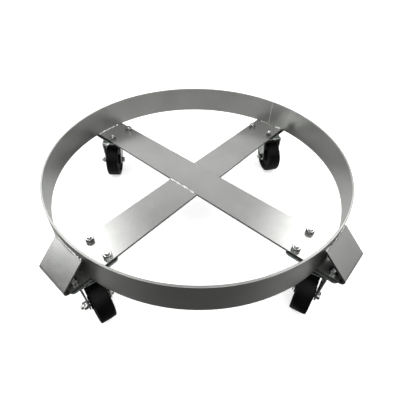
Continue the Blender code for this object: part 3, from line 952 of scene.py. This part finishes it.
# ---------------------------------------------------------------- studio


VIEW_AZIMUTH = 40.81


def floor_paint(name, glow):
    """Matt white, which may also give off light of its own."""
    n = Nodes(name)
    where = n.place()
    n.set(
        base_color=n.colours(n.noise(where, 40, 4.0), (0.3, (0.895,) * 3), (0.7, (0.905,) * 3)),
        roughness=0.9,
        specular_ior_level=0.0,
        emission_color=(1.0, 1.0, 1.0),
        emission_strength=glow,
    )
    return n.material


def staged(name, work, paint):
    """Sets a piece of the studio, which is no part of the dolly."""
    mesh = bpy.data.meshes.new(name)
    work.to_mesh(mesh)
    work.free()
    mesh.materials.append(paint)
    obj = bpy.data.objects.new(name, mesh)
    bpy.context.scene.collection.objects.link(obj)
    return obj


def floor_sheet(name, radius, centre, paint):
    """A flat round sheet of the studio's floor."""
    work = bmesh.new()
    bmesh.ops.create_circle(work, cap_ends=True, segments=96, radius=radius)
    obj = staged(name, work, paint)
    obj.location = centre
    return obj


def studio_wall(name, radius, height, paint):
    """A round wall that stands far off on the floor, so that every view has a pale background."""
    work = bmesh.new()
    bmesh.ops.create_cone(work, segments=96, radius1=radius, radius2=radius, depth=height)
    bmesh.ops.translate(work, verts=work.verts, vec=(0, 0, height / 2))
    return staged(name, work, paint)


# The camera sees a white floor and backdrop that glow, and that no reflection, bounce or shadow ray meets.
# The metal mirrors a separate, plain sheet just below, hidden from the camera, which ends under the near side
# of the ring, so that the near side stays dark.
SEEN_FLOOR_GLOW = 0.55
BACKDROP_GLOW = 1.0
STUDIO_RADIUS = 8.0
MIRRORED_RADIUS = 0.46
MIRRORED_BEYOND = MIRRORED_RADIUS - 0.30
MIRRORED_HEIGHT = -0.5 * MM

plain_paint = floor_paint("pale_floor_under_ring", 0.0)
beyond = about_z(VIEW_AZIMUTH) @ Vector((0, MIRRORED_BEYOND, MIRRORED_HEIGHT))
mirrored_floor = floor_sheet("floor_under_ring", MIRRORED_RADIUS, beyond, plain_paint)
mirrored_floor.visible_camera = False
lit_paint = floor_paint("pale_floor_lit", SEEN_FLOOR_GLOW)
seen_floor = floor_sheet("floor_around", STUDIO_RADIUS, Vector((0, 0, 0)), lit_paint)
backdrop_paint = floor_paint("pale_backdrop", BACKDROP_GLOW)
backdrop = studio_wall("backdrop", STUDIO_RADIUS, 2 * STUDIO_RADIUS, backdrop_paint)
for surround in (seen_floor, backdrop):
    for ray in ("glossy", "diffuse", "shadow"):
        setattr(surround, f"visible_{ray}", False)

# The lamps, far off round the dolly: azimuth and elevation in degrees, tightness of the lobe, and strength.
# The first settings were a least-squares fit to the photograph's tones, made by another script. Lamps were
# then moved, added and given other strengths. The rows marked fitted keep that fit's direction and
# tightness, rounded. The row marked fitted throughout and ROOM_LIGHT keep its strength too.
LAMPS = (
    (0, 76, 10, 1.5),
    (0, 30, 14, 0.8),
    (30, 54, 21, 3.0),  # fitted
    (144, 48, 90, 5.6),
    (216, 49, 105, 6.4),
    (304, 53, 35, 2.0),  # fitted
    (221, 28, 33, 2.6),  # fitted
    (132, 41, 67, 2.6),  # fitted
    (180, 34, 30, 0.80),
    (274, 22, 250, 14.0),
    (271, 27, 45, 0.9),
    (94, 20, 40, 1.4),
    (181, -25, 5.5, 0.54),  # fitted throughout
    (100, -42, 9, 0.45),
    (262, -42, 9, 0.45),
)
ROOM_LIGHT = 0.102


def direction(azimuth, elevation):
    """Towards a light. Azimuth 0 is behind the camera, and it turns to the camera's right."""
    a = math.radians(azimuth + VIEW_AZIMUTH)
    e = math.radians(elevation)
    return Vector((math.sin(a) * math.cos(e), -math.cos(a) * math.cos(e), math.sin(e)))


def studio():
    """A dim white room with soft lamps round the dolly, each a smooth lobe of light from far off."""
    world = bpy.data.worlds.new("studio")
    bpy.context.scene.world = world
    world.use_nodes = True
    tree = world.node_tree
    seen = tree.nodes.new("ShaderNodeTexCoord").outputs["Generated"]

    def math_node(operation, first, second):
        node = tree.nodes.new("ShaderNodeMath")
        node.operation = operation
        for source, socket in ((first, node.inputs[0]), (second, node.inputs[1])):
            if isinstance(source, (int, float)):
                socket.default_value = source
            else:
                tree.links.new(source, socket)
        return node.outputs["Value"]

    total = ROOM_LIGHT
    for azimuth, elevation, tightness, strength in LAMPS:
        dot = tree.nodes.new("ShaderNodeVectorMath")
        dot.operation = "DOT_PRODUCT"
        tree.links.new(seen, dot.inputs[0])
        dot.inputs[1].default_value = direction(azimuth, elevation)
        falling = math_node("MULTIPLY", math_node("SUBTRACT", dot.outputs["Value"], 1), tightness)
        lobe = math_node("MULTIPLY", math_node("POWER", math.e, falling), strength)
        total = math_node("ADD", lobe, total)
    tree.links.new(total, tree.nodes["Background"].inputs["Strength"])
    tree.nodes["Background"].inputs["Color"].default_value = (1, 1, 1, 1)


def turned_pair(first, second, angle):
    """Two axes at right angles, turned together so that the first moves towards the second."""
    c, s = math.cos(angle), math.sin(angle)
    return first * c + second * s, second * c - first * s


def camera():
    """The photograph's viewing angle: azimuth, elevation and distance, then three small aiming turns.

    The values are a least-squares fit to outlines measured in the photograph.
    """
    elevation = math.radians(40.53)
    aim_up, aim_right, roll = math.radians(1.682), math.radians(1.3355), math.radians(1.0275)
    distance = 0.7214
    back = Vector((0, -math.cos(elevation), math.sin(elevation)))
    right = Vector((1, 0, 0))
    up = back.cross(right)
    place = back * distance
    back, up = turned_pair(back, up, aim_up)
    back, right = turned_pair(back, right, aim_right)
    right, up = turned_pair(right, up, roll)
    data = bpy.data.cameras.new("camera")
    data.sensor_width = 36
    data.lens = 29.23
    data.shift_x, data.shift_y = 0.0305, -0.0319
    data.clip_start = 0.01
    obj = bpy.data.objects.new("camera", data)
    turn = about_z(VIEW_AZIMUTH)
    axes = Matrix((right, up, back)).transposed().to_4x4()
    obj.matrix_world = turn @ at(*place) @ axes
    obj.location.z += BAR_TOP
    bpy.context.scene.collection.objects.link(obj)
    bpy.context.scene.camera = obj


studio()
camera()
bpy.context.scene.view_settings.view_transform = "Standard"
